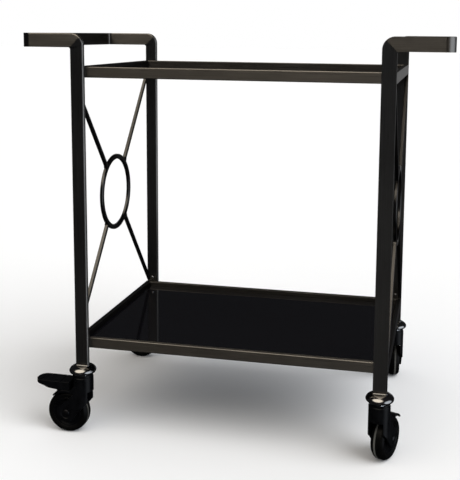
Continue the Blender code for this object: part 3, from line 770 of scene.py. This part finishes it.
def fork_mesh(braked):
    """The caster's moulded body: housing, strap-shaped cheeks, hood and wheel slot."""
    chamfer, seam, shoulder = 0.0004, NECK_RADIUS - 0.0010, 0.0010
    profile = [(0.0, STEM_FOOT), (STEM_BORE, STEM_FOOT), (STEM_BORE, NECK_TOP)]
    profile += [(NECK_RADIUS - chamfer, NECK_TOP), (NECK_RADIUS, NECK_TOP - chamfer)]
    profile += [(NECK_RADIUS, HOUSING_TOP + 0.0008)]
    profile += [(seam, HOUSING_TOP + 0.0004), (seam, HOUSING_TOP - 0.0004)]
    profile += arc((HOUSING_RADIUS - shoulder, HOUSING_TOP - shoulder), shoulder, 90, 0, 6)
    profile += [(HOUSING_RADIUS, 0.0500), (0.0, 0.0500)]
    touch = tangent_angle(HOUSING_CORNER)
    lower = arc(AXLE, BOSS_RADIUS, touch, touch, 1)[0]
    wedge = [(-MARGIN, HOUSING_STEP), (-HOUSING_RADIUS, HOUSING_STEP), HOUSING_CORNER, lower]
    wedge += [(FAR, lower[1]), (FAR, -0.010), (-MARGIN, -0.010)]
    housing = combined(turned(profile, 96), [("DIFFERENCE", along_the_wheel(wedge, MARGIN))])
    strap = rounded(along_the_wheel(strap_outline(), CHEEK_HALF_WIDTH), 0.0012, 3)
    slot = SLOT_HALF_WIDTH
    front_slot = block((-MARGIN, -slot, -0.010), (AXLE[0], slot, SLOT_TOP))
    wheel_slot = along_the_wheel(arc(AXLE, SLOT_RADIUS, 0, 357, 119), slot)
    back_slot = block((0.0200, -slot, -0.010), (FAR, slot, AXLE[1]))
    bore = rod(AXLE_RADIUS + 0.0006, (AXLE[0], -MARGIN, AXLE[1]), (AXLE[0], MARGIN, AXLE[1]), 48)
    steps = [("UNION", strap)]
    steps += [("DIFFERENCE", cutter) for cutter in (front_slot, wheel_slot, back_slot, bore)]
    for sign in (-1, 1):
        recess = turned([(0.0, 0.0006), (0.0102, 0.0006), (0.0102, -0.0008), (0.0, -0.0008)], 72)
        recess.transform(Matrix.Rotation(math.radians(-90 * sign), 4, "X"))
        recess.transform(Matrix.Translation((AXLE[0], sign * CHEEK_HALF_WIDTH, AXLE[1])))
        steps.append(("DIFFERENCE", recess))
    if braked:
        lug = arc((PIN_T, PIN_Z), LUG_ROUNDING, 90, 180, 10)
        lug += [(PIN_T - LUG_ROUNDING, LUG_FOOT), *LUG_END]
        steps.append(("UNION", along_the_wheel(lug, LUG_HALF_WIDTH)))
        pivot = rod(0.0027, (PIN_T, -MARGIN, PIN_Z), (PIN_T, MARGIN, PIN_Z), 32)
        steps.append(("DIFFERENCE", pivot))
    return moulded(combined(housing, steps), 0.00042, 3, 0.35)


def pedal_mesh():
    """The brake pedal: a hollow paddle with grip grooves, in the caster's own frame."""
    half, tip = PEDAL_HALF_WIDTH, 0.016
    outline = [(PEDAL_FRONT, -half)]
    outline += arc((PEDAL_TIP - tip, -half + tip), tip, -90, 0, 16)
    outline += arc((PEDAL_TIP - tip, half - tip), tip, 0, 90, 16)
    outline += [(PEDAL_FRONT, half)]
    depth = PEDAL_TOP - PEDAL_SKIRT
    body = plate(outline, depth)
    body.transform(Matrix.Translation((0, 0, PEDAL_TOP - depth / 2)))
    body = rounded(body, 0.0015, 4, lambda middle, _: middle.z > PEDAL_TOP - 0.0001)
    floor = PEDAL_SKIRT - PEDAL_WALL
    under = [(0.1000, 0.0965), (0.0900, 0.0953), (0.0840, 0.0940), (0.0770, 0.0927), (0.0715, 0.0912)]
    under += [(0.0670, 0.0888), (0.0630, 0.0876), (0.0560, 0.0868), (0.0500, 0.0860), (0.0100, 0.0860)]
    under += [(0.0100, floor), (0.1000, floor)]
    inside, ceiling, room_end = PEDAL_FRONT + PEDAL_WALL, PEDAL_TOP - PEDAL_WALL, 0.0520
    room = [(inside, floor), (inside, ceiling), (room_end, ceiling), (room_end, floor)]
    reach = half - PEDAL_WALL / 2
    pin = rod(0.0022, (PIN_T, -reach, PIN_Z), (PIN_T, reach, PIN_Z), 32)
    steps = [
        ("DIFFERENCE", along_the_wheel(under, MARGIN)),
        ("DIFFERENCE", along_the_wheel(room, half - PEDAL_WALL)),
        ("UNION", pin),
    ]
    for place, width, deep in (NOTCH, *GRIP_GROOVES):
        low = (place - width / 2, -half - 0.001, PEDAL_TOP - deep)
        high = (place + width / 2, half + 0.001, PEDAL_TOP + 0.002)
        steps.append(("DIFFERENCE", block(low, high)))
    return moulded(combined(body, steps), 0.00036, 2, 0.35)


def across_axis(mesh):
    """Turns a mesh from the Z axis to the wheel's axis, Y."""
    mesh.transform(Matrix.Rotation(math.radians(90), 4, "X"))
    return mesh


def tyre_mesh():
    """A crowned tyre with a step between tread and sidewall."""
    radius, half, bed = AXLE[1], TYRE_HALF_WIDTH, HUB_RIM
    side = [(bed, half - 0.0020), (bed + 0.0012, half - 0.0012), (bed + 0.0030, half - 0.0006)]
    side += [(radius - 0.0058, half), (radius - 0.0050, half - 0.0003), (radius - 0.0046, half - 0.0009)]
    crown, edge = [], half - 0.0009
    for k in range(13):
        share = 1 - k / 12
        crown.append((radius - TYRE_DROP * share**4.0, edge * share))
    profile = side + crown
    profile += [(r, -h) for r, h in reversed(profile[:-1])]
    return across_axis(turned(profile, 160, closed=True))


def hub_mesh():
    """A dished hub with a raised boss and a lip at the rim."""
    bore, rim = AXLE_RADIUS + 0.0003, HUB_RIM
    side = [(bore, 0.0132), (0.0080, 0.0132), (0.0085, 0.0128), (0.0092, 0.0098), (0.0102, 0.0090)]
    side += [(0.0160, 0.0084), (0.0226, 0.0086), (0.0238, 0.0092), (0.0246, 0.0106), (0.0254, 0.0110)]
    side += [(rim - 0.0006, 0.0110), (rim, 0.0105)]
    profile = side + [(r, -h) for r, h in reversed(side)]
    return across_axis(turned(profile, 128, closed=True))


def axle_mesh():
    """The axle with a domed head at each end."""
    reach, head = CHEEK_HALF_WIDTH, AXLE_HEAD
    end = [(0.0, reach + 0.0008), (0.0022, reach + 0.0007), (0.0042, reach + 0.0004)]
    end += [(head - 0.0004, reach - 0.0001), (head, reach - 0.0006), (AXLE_RADIUS, reach - 0.0007)]
    profile = end + [(r, -h) for r, h in reversed(end)]
    return across_axis(turned(profile, 64))


def add_casters():
    forks = {True: fork_mesh(True), False: fork_mesh(False)}
    pedal, tyre, hub, axle = pedal_mesh(), tyre_mesh(), hub_mesh(), axle_mesh()
    for name in CORNERS:
        place = caster_place(name)
        wheel = place @ Matrix.Translation((AXLE[0], 0, AXLE[1]))
        caster, turning = f"{name}_caster", f"{name}_wheel"
        add_piece(f"{name}_fork", forks[name in BRAKED], PLASTIC, caster, place)
        add_piece(f"{name}_axle", axle, AXLE_STEEL, caster, wheel)
        # The painted highlight is on one side of the tread; on the back right tyre it is turned to the
        # other
        highlight_turn = Matrix.Rotation(math.radians(180 if name == "back_right" else 0), 4, "Z")
        add_piece(f"{name}_tyre", tyre, RUBBER, turning, wheel @ highlight_turn)
        add_piece(f"{name}_hub", hub, PLASTIC, turning, wheel)
        if name in BRAKED:
            add_piece(f"{name}_pedal", pedal, PLASTIC, f"{name}_brake", place)


def finish_cad_nodes():
    """Materials for the CAD nodes that stay."""
    for level in ("upper", "lower"):
        for kind, material in (("glass", GLASS), ("front_ledge", PLASTIC), ("back_ledge", PLASTIC)):
            for material_slot in frame["nodes"][f"{level}_{kind}"].material_slots:
                material_slot.material = material


# Studio


def add_floor():
    mesh = bpy.data.meshes.new("studio_floor")
    shape = bmesh.new()
    bmesh.ops.create_grid(shape, x_segments=1, y_segments=1, size=40.0)
    shape.to_mesh(mesh)
    shape.free()
    floor = bpy.data.objects.new("studio_floor", mesh)
    bpy.context.scene.collection.objects.link(floor)
    material, shader = new_material("studio_floor")
    shader.inputs["Base Color"].default_value = (0.945, 0.955, 0.970, 1.0)
    shader.inputs["Roughness"].default_value = 1.0
    shader.inputs["Specular IOR Level"].default_value = 0.0
    mesh.materials.append(material)
    floor.visible_glossy = False


def add_world():
    """An even pale sky, and for reflections a dark room with soft boxes."""
    world = bpy.data.worlds.new("studio")
    world.use_nodes = True
    bpy.context.scene.world = world
    tree = world.node_tree
    tree.nodes.clear()
    link = tree.links.new
    direction = tree.nodes.new("ShaderNodeTexCoord").outputs["Generated"]

    def box_light(towards, start, full, colour):
        aim = tree.nodes.new("ShaderNodeVectorMath")
        aim.operation = "DOT_PRODUCT"
        link(direction, aim.inputs[0])
        aim.inputs[1].default_value = Vector(towards).normalized()
        soft = tree.nodes.new("ShaderNodeMapRange")
        soft.interpolation_type = "SMOOTHSTEP"
        link(aim.outputs["Value"], soft.inputs["Value"])
        soft.inputs["From Min"].default_value = start
        soft.inputs["From Max"].default_value = full
        tint = tree.nodes.new("ShaderNodeVectorMath")
        tint.operation = "SCALE"
        tint.inputs[0].default_value = colour
        link(soft.outputs["Result"], tint.inputs["Scale"])
        return tint.outputs["Vector"]

    def added(first, second):
        total = tree.nodes.new("ShaderNodeVectorMath")
        link(first, total.inputs[0])
        link(second, total.inputs[1])
        return total.outputs["Vector"]

    lights = [box_light(*soft_box) for soft_box in SOFT_BOXES]
    total = lights[0]
    for light in lights[1:]:
        total = added(total, light)
    room = tree.nodes.new("ShaderNodeVectorMath")
    link(total, room.inputs[0])
    room.inputs[1].default_value = ROOM_COLOUR
    studio = tree.nodes.new("ShaderNodeBackground")
    link(room.outputs["Vector"], studio.inputs["Color"])
    path = tree.nodes.new("ShaderNodeLightPath")
    shown = studio
    for ray, strength in (("Is Diffuse Ray", SKY_STRENGTH), ("Is Camera Ray", 1.0)):
        sky = tree.nodes.new("ShaderNodeBackground")
        sky.inputs["Strength"].default_value = strength
        sky.inputs["Color"].default_value = (1.0, 1.0, 1.0, 1.0)
        choose = tree.nodes.new("ShaderNodeMixShader")
        link(path.outputs[ray], choose.inputs["Fac"])
        link(shown.outputs[0], choose.inputs[1])
        link(sky.outputs["Background"], choose.inputs[2])
        shown = choose
    output = tree.nodes.new("ShaderNodeOutputWorld")
    link(shown.outputs[0], output.inputs["Surface"])


def add_key_light():
    """A broad soft light from the right and the front, for the floor's shadow."""
    data = bpy.data.lights.new("key", "SUN")
    data.energy = KEY_STRENGTH
    data.angle = math.radians(KEY_WIDTH)
    key = bpy.data.objects.new("key", data)
    bpy.context.scene.collection.objects.link(key)
    key.rotation_euler = Vector(KEY_FROM).to_track_quat("Z", "Y").to_euler()
    key.visible_glossy = False


def add_camera():
    data = bpy.data.cameras.new("camera")
    camera = bpy.data.objects.new("camera", data)
    bpy.context.scene.collection.objects.link(camera)
    yaw, pitch, roll = CAMERA_YAW, CAMERA_PITCH, CAMERA_ROLL
    forward = Vector((-math.sin(yaw) * math.cos(pitch), math.cos(yaw) * math.cos(pitch), math.sin(pitch)))
    right = forward.cross(Vector((0, 0, 1))).normalized()
    up = right.cross(forward)
    right, up = (
        right * math.cos(roll) + up * math.sin(roll),
        up * math.cos(roll) - right * math.sin(roll),
    )
    turn = Matrix((right, up, -forward)).transposed().to_4x4()
    camera.matrix_world = Matrix.Translation(CAMERA_PLACE) @ turn
    data.lens = CAMERA_LENS
    data.sensor_width = 36.0
    data.shift_x, data.shift_y = CAMERA_SHIFT
    data.clip_start = 0.05
    bpy.context.scene.camera = camera


def main():
    add_legs()
    add_handles()
    add_rails()
    add_rings()
    add_braces()
    add_screws()
    add_collars()
    add_welds()
    add_stems()
    add_casters()
    finish_cad_nodes()
    add_floor()
    add_world()
    add_key_light()
    add_camera()
    bpy.context.scene.view_settings.view_transform = "Standard"
    bpy.context.view_layer.update()


main()
